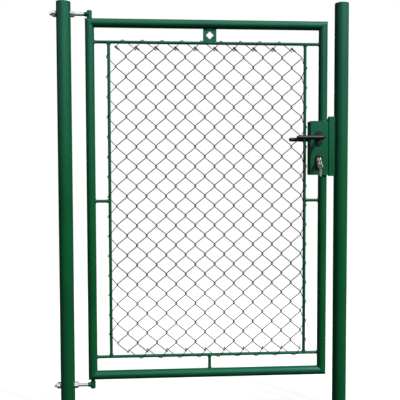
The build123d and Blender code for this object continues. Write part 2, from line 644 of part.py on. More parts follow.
def build():
    """Every named piece of the gate."""
    parts = {
        "hinge_post": hinge_post(),
        "hinge_post_cap": post_cap(0, HINGE_POST_TOP),
        "latch_post": latch_post(),
        "latch_post_cap": post_cap(LATCH_POST_X, POST_TOP),
        "strike_plate": strike_plate(),
        "top_rail": mitred_tube((-1, 1), (1, 1)),
        "bottom_rail": mitred_tube((-1, -1), (1, -1)),
        "hinge_stile": mitred_tube((-1, -1), (-1, 1)),
        "spacer_plate": spacer_plate(),
        "wire_fabric": fabric(),
        "upper_hinge_pin": hinge_pin(1),
        "lower_hinge_pin": hinge_pin(-1),
        "lock_case": lock_case(),
        "latch_bolt": bolt(LATCH_Z, LATCH_WIDTH, LATCH_HEIGHT),
        "dead_bolt": bolt(BOLT_Z, BOLT_WIDTH, BOLT_HEIGHT),
        "front_handle_plate": handle_plate(-1),
        "back_handle_plate": handle_plate(1),
        "front_cylinder_plate": cylinder_plate(-1),
        "back_cylinder_plate": cylinder_plate(1),
        "lock_cylinder": lock_cylinder(),
        "spindle": spindle(),
        "front_lever": lever(-1),
        "back_lever": lever(1),
        "cylinder_plug": plug(),
        "key": key(),
        "key_ring": key_ring(),
        "spare_key": spare_key(),
    }
    parts["lower_lock_stile"], parts["upper_lock_stile"] = lock_stiles()
    parts.update(inner_rods())
    parts.update(struts())
    parts.update(lacings())
    for name, z in (("upper", UPPER_EYE_Z), ("lower", LOWER_EYE_Z)):
        threaded, eye, nuts = hinge_hardware(z)
        parts[name + "_hinge_rod"] = threaded
        parts[name + "_hinge_eye"] = eye
        parts[name + "_hinge_nuts"] = nuts
    return parts


os.makedirs("parts", exist_ok=True)
for node, shape in build().items():
    export_step(shape, os.path.join("parts", node + ".step"))
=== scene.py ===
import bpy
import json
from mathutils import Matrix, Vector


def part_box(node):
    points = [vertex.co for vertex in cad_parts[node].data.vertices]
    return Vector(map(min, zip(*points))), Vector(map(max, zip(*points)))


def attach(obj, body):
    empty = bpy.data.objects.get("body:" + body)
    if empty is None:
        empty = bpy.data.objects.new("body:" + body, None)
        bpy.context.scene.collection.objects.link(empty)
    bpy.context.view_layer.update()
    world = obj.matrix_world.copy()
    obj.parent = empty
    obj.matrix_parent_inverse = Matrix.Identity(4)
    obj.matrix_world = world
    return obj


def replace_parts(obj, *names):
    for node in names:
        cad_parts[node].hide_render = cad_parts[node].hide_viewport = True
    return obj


bl_info = {
    "name": "Chain link gate",
    "version": (1, 0, 0),
    "blender": (4, 5, 0),
    "location": "3D View > Sidebar > Gate",
    "description": "Dresses a garden gate with woven wire, weld beads, threads and powder coat",
    "category": "Add Mesh",
}

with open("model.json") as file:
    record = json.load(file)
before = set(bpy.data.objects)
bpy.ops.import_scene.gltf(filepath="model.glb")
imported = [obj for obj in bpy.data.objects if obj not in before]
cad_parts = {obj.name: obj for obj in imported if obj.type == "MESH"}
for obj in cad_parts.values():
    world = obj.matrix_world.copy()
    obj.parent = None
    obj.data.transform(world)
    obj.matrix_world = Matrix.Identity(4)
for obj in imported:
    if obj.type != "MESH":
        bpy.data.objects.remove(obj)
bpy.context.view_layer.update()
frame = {"nodes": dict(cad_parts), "record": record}

import json
import math

import bpy
import numpy as np
from bpy.props import FloatProperty, FloatVectorProperty, PointerProperty
from mathutils import Matrix

TURN = 2 * math.pi
MM = 0.001


def middle(node, axis):
    """Centre of a CAD node's box along one axis."""
    low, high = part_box(node)
    return (low[axis] + high[axis]) / 2


def half_width(node, axis):
    """Half of a CAD node's box along one axis."""
    low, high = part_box(node)
    return (high[axis] - low[axis]) / 2


# Places and radii of the tubes and rods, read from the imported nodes, in metres
FRAME_R = half_width("top_rail", 1)
ROD_R = half_width("top_inner_rod", 1)
POST_R = half_width("hinge_post", 1)
HINGE_X = middle("hinge_stile", 0)
LOCK_X = middle("upper_lock_stile", 0)
POST_X = middle("latch_post", 0)
TOP_RAIL_Z = middle("top_rail", 2)
BOTTOM_RAIL_Z = middle("bottom_rail", 2)
HINGE_ROD_X = middle("hinge_side_inner_rod", 0)
LOCK_ROD_X = middle("lock_side_inner_rod", 0)
TOP_ROD_Z = middle("top_inner_rod", 2)
BOTTOM_ROD_Z = middle("bottom_inner_rod", 2)
CASE_LOW, CASE_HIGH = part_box("lock_case")
STRIKE_LOW, STRIKE_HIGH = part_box("strike_plate")
PLATE_LOW, PLATE_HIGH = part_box("spacer_plate")

# The weave's grid: knots stand on its columns and rows where column plus row is even
REACH = {"hinge_side": 30 * MM, "lock_side": 16.5 * MM, "top": 17 * MM, "bottom": 16 * MM}
MESH_LEFT = HINGE_ROD_X + REACH["hinge_side"]
MESH_RIGHT = LOCK_ROD_X - REACH["lock_side"]
MESH_TOP = TOP_ROD_Z - REACH["top"]
MESH_BOTTOM = BOTTOM_ROD_Z + REACH["bottom"]
PICKETS = 19
ROWS = 31
COLUMN_STEP = (MESH_RIGHT - MESH_LEFT) / PICKETS
ROW_STEP = (MESH_TOP - MESH_BOTTOM) / ROWS


class GateSizes(bpy.types.PropertyGroup):
    """Sizes of the pieces that dress the gate."""

    wire: FloatProperty(
        name="Mesh wire", description="Diameter of the woven wire with its coat",
        default=3.8 * MM, unit="LENGTH")
    strand_offset: FloatProperty(
        name="Strand offset", description="How far a strand stands off the fabric's middle",
        default=3.0 * MM, unit="LENGTH")
    knot_reach: FloatProperty(
        name="Knot reach", description="How far a bend passes its column", default=2.9 * MM,
        unit="LENGTH")
    lacing_wire: FloatProperty(
        name="Lacing wire", description="Diameter of the wire wound round the rods",
        default=3.1 * MM, unit="LENGTH")
    twist_length: FloatProperty(
        name="Twist length", description="Length of each twisted end along the top",
        default=24 * MM, unit="LENGTH")
    twist_turns: FloatProperty(
        name="Twist turns", description="Turns in each twisted end", default=3.25)
    thread_pitch: FloatProperty(
        name="Thread pitch", description="Distance between the threads of the hinge rods",
        default=2 * MM, unit="LENGTH")
    thread_depth: FloatProperty(
        name="Thread depth", description="Depth of the threads", default=1.1 * MM, unit="LENGTH")
    bead: FloatProperty(
        name="Weld bead", description="Radius of the weld beads", default=2.4 * MM, unit="LENGTH")
    screw_d: FloatProperty(
        name="Screw head", description="Diameter of the lock's screw heads", default=9 * MM,
        unit="LENGTH")


class GateColours(bpy.types.PropertyGroup):
    """Colours of the gate's finishes."""

    coat: FloatVectorProperty(
        name="Powder coat", description="Green coat of the steel", subtype="COLOR", min=0, max=1,
        default=(0.0058, 0.098, 0.030))
    wire: FloatVectorProperty(
        name="Wire coat", description="Coat of the woven wire", subtype="COLOR", min=0, max=1,
        default=(0.006, 0.018, 0.014))
    cap: FloatVectorProperty(
        name="Cap plastic", description="Moulded plastic of the post caps", subtype="COLOR",
        min=0, max=1, default=(0.010, 0.085, 0.045))
    black: FloatVectorProperty(
        name="Black plastic", description="Levers and escutcheons", subtype="COLOR", min=0, max=1,
        default=(0.0045, 0.0055, 0.0055))
    zinc: FloatVectorProperty(
        name="Zinc", description="Plating of the hinge rods and nuts", subtype="COLOR",
        min=0, max=1, default=(0.60, 0.61, 0.60))
    steel: FloatVectorProperty(
        name="Plated steel", description="Bolts, spindle and screws", subtype="COLOR", min=0, max=1,
        default=(0.55, 0.55, 0.54))
    brass: FloatVectorProperty(
        name="Brass", description="Lock cylinder", subtype="COLOR", min=0, max=1,
        default=(0.70, 0.57, 0.34))
    nickel: FloatVectorProperty(
        name="Nickel", description="Keys and ring", subtype="COLOR", min=0, max=1,
        default=(0.90, 0.87, 0.77))


class GateStage(bpy.types.PropertyGroup):
    """Camera and light."""

    lens: FloatProperty(name="Focal length", description="In widths of the picture", default=1.4415)
    yaw: FloatProperty(
        name="Yaw", description="Camera turned to the right", default=math.radians(3.611),
        subtype="ANGLE")
    pitch: FloatProperty(
        name="Pitch", description="Camera tipped down", default=math.radians(2.485),
        subtype="ANGLE")
    roll: FloatProperty(
        name="Roll", description="Camera turned about its own axis", default=math.radians(-0.144),
        subtype="ANGLE")
    camera: FloatVectorProperty(
        name="Camera place", description="Where the camera stands", default=(0.416, -2.482, 1.038),
        subtype="TRANSLATION")
    key_power: FloatProperty(
        name="Key light", description="Power of the light from the upper right",
        default=1110.0, unit="POWER")
    fill_power: FloatProperty(
        name="Fill light", description="Power of the soft light from the left", default=8.0,
        unit="POWER")
    back_power: FloatProperty(
        name="Back light", description="Power of the soft light behind the gate",
        default=260.0, unit="POWER")
    key_place: FloatVectorProperty(
        name="Key light place", description="Where the key light hangs",
        default=(5.18, -4.58, 7.35), subtype="TRANSLATION")
    sky: FloatVectorProperty(
        name="Sky", description="Light from above that gloss mirrors", subtype="COLOR", min=0,
        soft_max=4, default=(1.9, 2.1, 2.6))
    haze: FloatVectorProperty(
        name="Haze", description="Soft light from all round", subtype="COLOR", min=0, max=1,
        default=(0.025, 0.03, 0.03))


class Term:
    """One socket of a node tree. Arithmetic on it adds Math nodes."""

    def __init__(self, finish, socket):
        self.finish, self.socket = finish, socket

    def math(self, operation, first, second):
        return self.finish.node("ShaderNodeMath", {"operation": operation}, {0: first, 1: second})

    def __add__(self, other):
        return self.math("ADD", self, other)

    def __sub__(self, other):
        return self.math("SUBTRACT", self, other)

    def __rsub__(self, other):
        return self.math("SUBTRACT", other, self)

    def __mul__(self, other):
        return self.math("MULTIPLY", self, other)

    def ramp(self, start, end):
        """0 below start, 1 above end, smooth between."""
        return self.finish.node("ShaderNodeMapRange", {"interpolation_type": "SMOOTHSTEP"},
                                {"Value": self, "From Min": start, "From Max": end})


class Nodes:
    """A node tree written as expressions on sockets."""

    def __init__(self, tree):
        self.tree = tree
        self.tree.nodes.clear()

    def node(self, kind, settings=None, inputs=None, output=0):
        """Add a node: its settings first, then the values or links of its sockets."""
        node = self.tree.nodes.new(kind)
        for key, value in (settings or {}).items():
            setattr(node, key, value)
        for key, value in (inputs or {}).items():
            if isinstance(value, Term):
                self.tree.links.new(value.socket, node.inputs[key])
            else:
                node.inputs[key].default_value = value
        return Term(self, node.outputs[output]) if node.outputs else None

    def mix(self, factor, first, second):
        """Colour that goes from first to second."""
        # On a Mix node of colours they are sockets 6 and 7, and the result is output 2
        first, second = [
            value if isinstance(value, Term) else (*value, 1.0) for value in (first, second)]
        return self.node(
            "ShaderNodeMix", {"data_type": "RGBA"}, {0: factor, 6: first, 7: second}, output=2)


class Finish(Nodes):
    """A material with a few patterns in Object coordinates."""

    def __init__(self, name):
        self.material = bpy.data.materials.get(name) or bpy.data.materials.new(name)
        self.material.use_nodes = True
        super().__init__(self.material.node_tree)
        self.place = self.node("ShaderNodeTexCoord", output="Object")

    def noise(self, scale, detail=2.0, rough=0.5, place=None):
        """Noise from 0 to 1 whose lumps are 1/scale metres across."""
        return self.node("ShaderNodeTexNoise", inputs={
            "Vector": place or self.place, "Scale": scale, "Detail": detail, "Roughness": rough})

    def stretched(self, x, y, z):
        """Object coordinates scaled along each axis."""
        return self.node("ShaderNodeMapping", inputs={"Vector": self.place, "Scale": (x, y, z)})

    def bump(self, height, distance, strength):
        """Normal bent by a height."""
        return self.node("ShaderNodeBump", inputs={
            "Height": height, "Distance": distance, "Strength": strength})

    def surface(self, colour, rough, normal, **plain):
        """Principled surface as the material's output."""
        inputs = {"Base Color": colour, "Roughness": rough, "Normal": normal}
        inputs.update({key.replace("_", " "): value for key, value in plain.items()})
        shader = self.node("ShaderNodeBsdfPrincipled", inputs=inputs)
        self.node("ShaderNodeOutputMaterial", inputs={"Surface": shader})
        return self.material


def scaled(colour, factor):
    """A colour made lighter or darker."""
    return tuple(min(1.0, channel * factor) for channel in colour)


def powder_coat(name, colour):
    """Semi-gloss powder coat: orange-peel skin, slow shifts of tone and a little dust."""
    finish = Finish(name)
    tone = finish.noise(3.0, 3.0).ramp(0.3, 0.7)
    dust = finish.noise(26.0, 5.0, 0.62).ramp(0.52, 0.78)
    fleck = finish.noise(420.0, 3.0, 0.6).ramp(0.62, 0.8)
    base = finish.mix(tone, scaled(colour, 0.88), scaled(colour, 1.12))
    base = finish.mix(fleck * 0.12, base, scaled(colour, 1.5))
    base = finish.mix(dust * 0.02, base, (0.10, 0.16, 0.12))
    skin = finish.bump(finish.noise(900.0) * 0.5 + finish.noise(140.0), 0.05 * MM, 0.4)
    rough = finish.noise(60.0, 4.0) * 0.08 + dust * 0.08 + 0.18
    return finish.surface(base, rough, skin, Specular_Tint=(0.42, 0.68, 1.0, 1.0))


def wire_coat(name, colour):
    """Thin extruded plastic on wire: satin, with faint unevenness and dust."""
    finish = Finish(name)
    tone = finish.noise(12.0, 4.0).ramp(0.3, 0.7)
    grime = finish.noise(90.0, 4.0, 0.6).ramp(0.5, 0.75)
    base = finish.mix(tone, scaled(colour, 0.8), scaled(colour, 1.25))
    base = finish.mix(grime * 0.18, base, (0.10, 0.12, 0.105))
    skin = finish.bump(finish.noise(1300.0), 0.06 * MM, 0.5)
    return finish.surface(base, finish.noise(200.0) * 0.12 + 0.34, skin, Specular_IOR_Level=0.35)


def moulded_plastic(name, colour, rough_level, grain):
    """Moulded plastic with a fine grain and rubbed patches."""
    finish = Finish(name)
    rubbed = finish.noise(45.0, 4.0, 0.6).ramp(0.55, 0.8)
    base = finish.mix(finish.noise(18.0, 3.0), scaled(colour, 0.85), scaled(colour, 1.2))
    base = finish.mix(rubbed * 0.15, base, scaled(colour, 2.2))
    skin = finish.bump(finish.noise(grain, 3.0, 0.6), 0.05 * MM, 0.5)
    rough = finish.noise(300.0) * 0.08 - rubbed * 0.08 + rough_level
    return finish.surface(base, rough, skin, Specular_IOR_Level=0.35)


def plated(name, colour, rough_level, spangle, shine=1.0):
    """Plated metal: small spangle, dull blotches and fine scratches; shine below 1 dulls it."""
    finish = Finish(name)
    cells = finish.node(
        "ShaderNodeTexVoronoi", inputs={"Vector": finish.place, "Scale": spangle}, output="Color")
    shade = finish.node("ShaderNodeSeparateColor", inputs={0: cells})
    blotch = finish.noise(70.0, 4.0, 0.6)
    base = finish.mix(shade * 0.5 + blotch * 0.5, scaled(colour, 0.78), scaled(colour, 1.12))
    scratch = finish.noise(60.0, 3.0, 0.6, finish.stretched(1.0, 14.0, 22.0))
    skin = finish.bump(scratch + finish.noise(1500.0) * 0.3, 0.04 * MM, 0.6)
    rough = shade * 0.08 + blotch.ramp(0.4, 0.7) * 0.14 + rough_level
    return finish.surface(base, rough, skin, Metallic=shine)


def grid_faces(rings, sides, closed_rings=False):
    """Quads between neighbouring rings of points."""
    ring = np.arange(rings if closed_rings else rings - 1)[:, None] * sides
    here = np.arange(sides)[None]
    after = (here + 1) % sides
    ring_after = (ring + sides) % (rings * sides)
    quads = np.stack([ring + here, ring + after, ring_after + after, ring_after + here], -1)
    return quads.reshape(-1, 4)


def capped(rings, first, last):
    """Rings of points closed at both ends on a centre point."""
    count, sides = rings.shape[:2]
    faces = grid_faces(count, sides)
    here = np.arange(sides)
    after = (here + 1) % sides
    start, end = count * sides, count * sides + 1
    bottom = np.stack([np.full(sides, start), after, here, here], -1)
    top = np.stack([np.full(sides, end), here, after, after], -1)
    top[:, 1:] += (count - 1) * sides
    return np.vstack([rings.reshape(-1, 3), [first], [last]]), np.vstack([faces, bottom, top])


def unit(vectors):
    """Each vector divided by its length."""
    return vectors / np.linalg.norm(vectors, axis=-1, keepdims=True)


def tube_along(path, radius, sides, closed=False, lead=(0.0, 1.0, 0.0)):
    """Round tube along a path.

    A surface point is the path's point plus the radius times (cos a times one normal plus
    sin a times the other). The first normal is the lead direction less its part along the
    path, and the second is the cross product of the path's direction with the first.
    """
    path = np.asarray(path, float)
    ahead = np.roll(path, -1, 0) - np.roll(path, 1, 0)
    if not closed:
        ahead[0], ahead[-1] = path[1] - path[0], path[-1] - path[-2]
    ahead = unit(ahead)
    lead = np.broadcast_to(np.asarray(lead, float), path.shape)
    first = unit(lead - ahead * np.sum(lead * ahead, 1, keepdims=True))
    second = np.cross(ahead, first)
    angle = np.arange(sides) * TURN / sides
    size = np.broadcast_to(np.asarray(radius, float), (len(path),))[:, None, None]
    spoke = (np.cos(angle)[None, :, None] * first[:, None]
             + np.sin(angle)[None, :, None] * second[:, None])
    rings = path[:, None] + size * spoke
    if closed:
        return rings.reshape(-1, 3), grid_faces(len(path), sides, True)
    return capped(rings, path[0], path[-1])


def turned(profile, origin, axis, across, sides):
    """Surface of revolution.

    A point is the origin plus the height times the axis plus the radius times (cos a of
    the across direction plus sin a of the axis crossed with it). The profile's rows are
    (radius, height), from the foot over the top to its middle.
    """
    profile = np.asarray(profile, float)
    axis, across = np.asarray(axis, float), np.asarray(across, float)
    other = np.cross(axis, across)
    angle = np.arange(sides) * TURN / sides
    spoke = np.cos(angle)[:, None] * across + np.sin(angle)[:, None] * other
    origin = np.asarray(origin, float)
    rings = origin + profile[:, None, 1:] * axis + profile[:, None, :1] * spoke[None]
    return capped(rings, origin + profile[0, 1] * axis, origin + profile[-1, 1] * axis)


def smooth_path(corners, steps):
    """Cubic B-spline over control points, its ends on the first and last of them."""
    corners = np.asarray(corners, float)
    before, after = 2 * corners[:1] - corners[1:2], 2 * corners[-1:] - corners[-2:-1]
    corners = np.vstack([before, corners, after])
    t = (np.arange(steps) / steps)[:, None]
    weights = np.stack([
        (1 - t) ** 3, 3 * t ** 3 - 6 * t ** 2 + 4, -3 * t ** 3 + 3 * t ** 2 + 3 * t + 1,
        t ** 3]) / 6
    spans = np.stack([corners[i:len(corners) - 3 + i] for i in range(4)])
    points = np.einsum("wsk,wnd->nsd", weights, spans).reshape(-1, 3)
    return np.vstack([points, corners[-2:-1]])


def add_piece(name, slot, body, surfaces):
    """One smooth-shaded object, riding on a body, from surfaces of points and faces."""
    offset, points, faces = 0, [], []
    for verts, quads in surfaces:
        points.append(verts)
        faces.append(quads + offset)
        offset += len(verts)
    faces = [tuple(dict.fromkeys(face)) for face in np.vstack(faces).tolist()]
    mesh = bpy.data.meshes.new(name)
    mesh.from_pydata(np.vstack(points).tolist(), [], faces)
    mesh.polygons.foreach_set("use_smooth", np.full(len(mesh.polygons), True))
    mesh.materials.append(bpy.data.materials[slot])
    mesh.update()
    piece = bpy.data.objects.new(name, mesh)
    bpy.context.scene.collection.objects.link(piece)
    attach(piece, body)
    return piece


class GATE_OT_finishes(bpy.types.Operator):
    """Makes the finishes and gives every CAD node its own"""

    bl_idname = "gate.finishes"
    bl_label = "Finishes"

    def execute(self, context):
        colours = context.scene.gate_colours
        powder_coat("green_coat", colours.coat)
        wire_coat("green_wire", colours.wire)
        moulded_plastic("green_plastic", colours.cap, rough_level=0.34, grain=1600.0)
        moulded_plastic("black_plastic", colours.black, rough_level=0.40, grain=1800.0)
        plated("zinc", colours.zinc, rough_level=0.40, spangle=520.0, shine=0.6)
        plated("plated_steel", colours.steel, rough_level=0.26, spangle=900.0)
        plated("brass", colours.brass, rough_level=0.30, spangle=1200.0, shine=0.75)
        plated("nickel", colours.nickel, rough_level=0.32, spangle=1400.0, shine=0.15)
        for part in frame["record"]["subparts"]:
            node = frame["nodes"][part["node"]]
            node.data.materials.clear()
            node.data.materials.append(bpy.data.materials[part["material_slot"]])
        return {"FINISHED"}


WIRE_SIDES = 8
PATH_STEPS = 10            # for each row
STEP_CROWDING = 0.8        # how far the steps crowd round the bends
BEND_SHARPNESS = 0.985     # k below; 1 would make pointed bends
DEPTH_SHARPNESS = 9.0      # q below


def picket_path(column, sizes, steps=PATH_STEPS):
    """Centre line of one flattened spiral of the fabric.

    With t counted in rows and a = pi t, x swings between the two columns as
    asin(k cos a) / asin(k), a triangle wave with rounded peaks, y swings between front
    and back as atan(q sin a) over its highest value, and z falls evenly. The steps of t
    crowd round the bends.
    """
    sign = 1 if column % 2 == 0 else -1
    rows = np.arange(ROWS * steps + 1) / steps
    rows = rows - STEP_CROWDING * np.sin(TURN * rows) / TURN
    angle = math.pi * rows
    swing = np.arcsin(BEND_SHARPNESS * np.cos(angle)) / math.asin(BEND_SHARPNESS)
    depth = np.arctan(DEPTH_SHARPNESS * np.sin(angle)) / math.atan(DEPTH_SHARPNESS)
    middle_x = MESH_LEFT + (column + 0.5) * COLUMN_STEP
    x = middle_x - sign * (COLUMN_STEP / 2 + sizes.knot_reach) * swing
    y = -sign * sizes.strand_offset * depth
    return np.stack([x, y, MESH_TOP - rows * ROW_STEP], -1)


class GATE_OT_fabric(bpy.types.Operator):
    """Weaves the wire fabric: round spirals hooked through their neighbours"""

    bl_idname = "gate.fabric"
    bl_label = "Wire fabric"

    def execute(self, context):
        sizes = context.scene.gate_sizes
        wires = [
            tube_along(picket_path(column, sizes), sizes.wire / 2, WIRE_SIDES)
            for column in range(PICKETS)
        ]
        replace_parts(add_piece("woven_fabric", "green_wire", "leaf", wires), "wire_fabric")
        return {"FINISHED"}


STRAND_STEPS = 40              # for each row of the strand that an end is wound round
TWIST_STEPS = 60
TWIST_START = 0.5 * MM         # along the strand
TWIST_FIRST_ANGLE = 0.25 * TURN
TWIST_SPREAD = 0.95            # the coil's radius, in wires
TWIST_THICKNESS = 0.42         # the twisted wire's own radius, in wires
TWIST_FLARE = 1.1 * MM         # added to the coil's radius at its start
TWIST_FLARE_FADE = 14.0
FIRST_END_SHIFT = 0.4 * MM     # the first column has no neighbour whose end comes over
LOOP_OUT = np.array([0.3, 1.2, 2.6]) * MM
LOOP_IN = np.array([0.0, 0.4, 1.5]) * MM
LOOP_STEPS = 6


def twisted_end(column, sizes):
    """End of one spiral wound round the first strand of the next.

    The path is the strand's own line plus a radius times (cos a, sin a) across it, where
    a grows evenly. The radius falls from its flare to just under one wire. A short loop
    leads into it from the other spiral's end.
    """
    strand = picket_path(column, sizes, STRAND_STEPS)
    run = np.concatenate([[0], np.cumsum(np.linalg.norm(np.diff(strand, axis=0), axis=1))])
    length = np.linspace(TWIST_START, sizes.twist_length, TWIST_STEPS)
    core = np.stack([np.interp(length, run, strand[:, i]) for i in range(3)], -1)
    ahead = unit(np.gradient(core, axis=0))
    front = unit(np.array([[0.0, -1.0, 0.0]]) + ahead * ahead[:, 1:2])
    side = np.cross(front, ahead)
    share = (length - length[0]) / (length[-1] - length[0])
    angle = TURN * sizes.twist_turns * share + TWIST_FIRST_ANGLE
    spread = sizes.wire * TWIST_SPREAD + TWIST_FLARE * np.exp(-share * TWIST_FLARE_FADE)
    across = np.cos(angle)[:, None] * front + np.sin(angle)[:, None] * side
    coil = core + spread[:, None] * across
    shift = 2 * sizes.knot_reach if column else FIRST_END_SHIFT
    start = strand[0] + np.array([shift, 0, 0])
    loop = smooth_path([start, start + LOOP_OUT, coil[0] + LOOP_IN, coil[0]], LOOP_STEPS)
    return tube_along(np.vstack([loop[:-1], coil]), sizes.wire * TWIST_THICKNESS, WIRE_SIDES)


class GATE_OT_twisted_ends(bpy.types.Operator):
    """Twists the spirals' ends together along the top"""

    bl_idname = "gate.twisted_ends"
    bl_label = "Twisted ends"

    def execute(self, context):
        sizes = context.scene.gate_sizes
        ends = [twisted_end(column, sizes) for column in range(0, PICKETS, 2)]
        add_piece("twisted_wire_ends", "green_wire", "leaf", ends)
        return {"FINISHED"}


# The hook inside a bend: half its width and height, and how far it stands from its column
HOOK_SIDE = 8.0 * MM
HOOK_HALF_HEIGHT = 3.6 * MM
HOOK_DEPTH = 5.0 * MM
# A turn at an edge knot: half its width, and how far in its legs and its middle pass
EDGE_SIDE = 9.0 * MM
EDGE_CLEAR = 10.0 * MM
EDGE_PASSING = 20.0 * MM
# A spline runs inside its control points, so their circle round the rod is wider than the
# wire's: by this share of the wire's diameter, and of the way from the rod to the knot
CLEAR_OF_WIRE = 0.62
CLEAR_OF_SPAN = 0.045
LACING_CORNERS = 5
LACING_STEPS = 5
LACING_LEAD = (0.31, 0.93, 0.2)
# Where a turn stands along its rod at 0, half and whole of its way round, in pitches
TURN_SHARES = {
    "hinge_side": (0.29, 0.54, 0.73), "lock_side": (0.19, 0.48, 0.75),
    "top": (0.12, 0.34, 0.78), "bottom": (0.11, 0.68, 0.94)}


def around_rod(knot_u, knot_v, shares, pitch, wire):
    """Control points of the wire's way round a rod, from the knot's side and back to it.

    They are corners of a polygon whose sides touch one circle, at (r cos a, r sin a), and
    the place along the rod rises with a from the first share of the pitch to the last.
    """
    span = math.hypot(knot_u, knot_v)
    clear_r = ROD_R + CLEAR_OF_WIRE * wire + CLEAR_OF_SPAN * span
    touch = math.atan2(knot_v, knot_u) + math.acos(clear_r / span)
    step = (TURN - 2 * touch) / LACING_CORNERS
    angle = touch + (np.arange(LACING_CORNERS) + 0.5) * step
    corner_r = clear_r / math.cos(step / 2)
    along = pitch * np.interp(angle, [0, math.pi, TURN], shares)
    return np.stack([corner_r * np.cos(angle), corner_r * np.sin(angle), along], -1)


def side_turn(reach, shares, pitch, wire):
    """Control points of a turn beside a spiral's bends, hooked inside one of them."""
    back_off = reach - HOOK_DEPTH
    return np.vstack([
        [(back_off, -HOOK_SIDE, HOOK_HALF_HEIGHT)],
        around_rod(back_off, -HOOK_SIDE, shares, pitch, wire),
        [(back_off, HOOK_SIDE, pitch - HOOK_HALF_HEIGHT), (reach + HOOK_DEPTH, 0, pitch)],
    ])


def edge_turn(reach, shares, pitch, wire):
    """Control points of a turn above or below the fabric, passed through under a knot."""
    inside = reach + EDGE_CLEAR
    return np.vstack([
        [(inside, EDGE_SIDE, 0)],
        around_rod(inside, EDGE_SIDE, shares, pitch, wire),
        [(inside, -EDGE_SIDE, pitch), (reach + EDGE_PASSING, 0, pitch)],
    ])


def lacing(origin, to_fabric, along, side, turn, pitch, turns, trim, wire):
    """Tube of a wire wound round one inner rod; side is +1 where it passes the front first."""
    shift = np.arange(turns)[:, None, None] * np.array([0, 0, pitch])
    local = (turn[None] + shift).reshape(-1, 3)
    local = local[trim[0]:len(local) - trim[1]]
    axes = np.array([to_fabric, (0, -side, 0), along], float)
    path = smooth_path(np.asarray(origin, float) + local @ axes, LACING_STEPS)
    return tube_along(path, wire / 2, WIRE_SIDES, lead=LACING_LEAD)


class GATE_OT_lacings(bpy.types.Operator):
    """Winds the wires that tie the fabric to the four inner rods"""

    bl_idname = "gate.lacings"
    bl_label = "Lacing wires"

    def execute(self, context):
        wire = context.scene.gate_sizes.lacing_wire
        tall, wide = 2 * ROW_STEP, 2 * COLUMN_STEP
        down, up, left, right = (0, 0, -1), (0, 0, 1), (-1, 0, 0), (1, 0, 0)
        first_row, first_column = PICKETS % 2, ROWS % 2
        lock_start = MESH_TOP - first_row * ROW_STEP
        bottom_start = MESH_LEFT + first_column * COLUMN_STEP
        runs = (
            ("hinge_side", side_turn, tall, (HINGE_ROD_X, 0, MESH_TOP), right, down, 1,
             ROWS // 2, (1, 0)),
            ("lock_side", side_turn, tall, (LOCK_ROD_X, 0, lock_start), left, down, -1,
             (ROWS - first_row) // 2, (0, 2)),
            ("top", edge_turn, wide, (MESH_LEFT, 0, TOP_ROD_Z), down, right, 1,
             PICKETS // 2, (0, 0)),
            ("bottom", edge_turn, wide, (bottom_start, 0, BOTTOM_ROD_Z), up, right, -1,
             (PICKETS - first_column) // 2, (0, 0)),
        )
        for place, one_turn, pitch, origin, to_fabric, along, side, turns, trim in runs:
            turn = one_turn(REACH[place], TURN_SHARES[place], pitch, wire)
            tube = lacing(origin, to_fabric, along, side, turn, pitch, turns, trim, wire)
            node = place + "_lacing"
            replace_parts(add_piece("round_" + node, "green_wire", "leaf", [tube]), node)
        return {"FINISHED"}


THREAD_SIDES = 24
THREAD_STEPS = 6            # for each pitch
THREAD_CHAMFER = 1.6 * MM


def thread(node, pitch, depth):
    """Threaded rod along X with chamfered ends.

    The radius is the rod's own less the depth times a triangle wave of x / pitch minus
    a / (2 pi), and it shrinks in the last millimetres of each end.
    """
    low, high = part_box(node)
    radius, z = half_width(node, 1), middle(node, 2)
    length = high[0] - low[0]
    steps = int(round(length / pitch)) * THREAD_STEPS
    x = np.linspace(low[0], high[0], steps + 1)[:, None]
    angle = (np.arange(THREAD_SIDES) * TURN / THREAD_SIDES)[None]
    wave = np.abs(2 * ((x / pitch - angle / TURN) % 1) - 1)
    to_end = np.minimum(x - low[0], high[0] - x)
    size = np.minimum(radius - depth * wave, radius - THREAD_CHAMFER + to_end)
    x = np.broadcast_to(x, size.shape)
    rings = np.stack([x, size * np.cos(angle), z + size * np.sin(angle)], -1)
    return capped(rings, (low[0], 0, z), (high[0], 0, z))


class GATE_OT_hinge_threads(bpy.types.Operator):
    """Cuts the threads of the hinge rods"""

    bl_idname = "gate.hinge_threads"
    bl_label = "Hinge rod threads"

    def execute(self, context):
        sizes = context.scene.gate_sizes
        for node in ("upper_hinge_rod", "lower_hinge_rod"):
            rod = thread(node, sizes.thread_pitch, sizes.thread_depth)
            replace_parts(add_piece("threaded_" + node, "zinc", "posts", [rod]), node)
        return {"FINISHED"}


BEAD_SIDES = 8
SADDLE_POINTS = 48
RING_POINTS = 96
LINE_STEP = 0.5 * MM
LINE_LEAD = (0.12, 0.9, 0.4)
RIPPLE_LENGTH = 2.4 * MM
# In shares of a bead's radius: its ripples, its slow unevenness, how far its line stands
# off a saddle, and how far it sinks into a mitre
RIPPLE = 0.14
UNEVENNESS = 0.10
LIFT = 0.2
SINK = 0.35
# In shares of the full bead: the beads at the struts' rod ends, at the frame's mitres, at
# the rods' corners, on the spacer plate, along the case and on the strike plate
STRUT_BEAD = 0.8
MITRE_BEAD = 0.7
CORNER_BEAD = 0.9
PLATE_BEAD = 0.7
CASE_BEAD = 0.5
STRIKE_BEAD = 0.8
PLATE_BEAD_LENGTH = 16 * MM
PLATE_BEAD_INSET = 2 * MM
PLATE_BEAD_OFF = 0.6 * MM
STRIKE_BEAD_LENGTH = 36 * MM
STRIKE_BEAD_INSET = 4 * MM
STRIKE_BEAD_OFF = 0.2 * MM


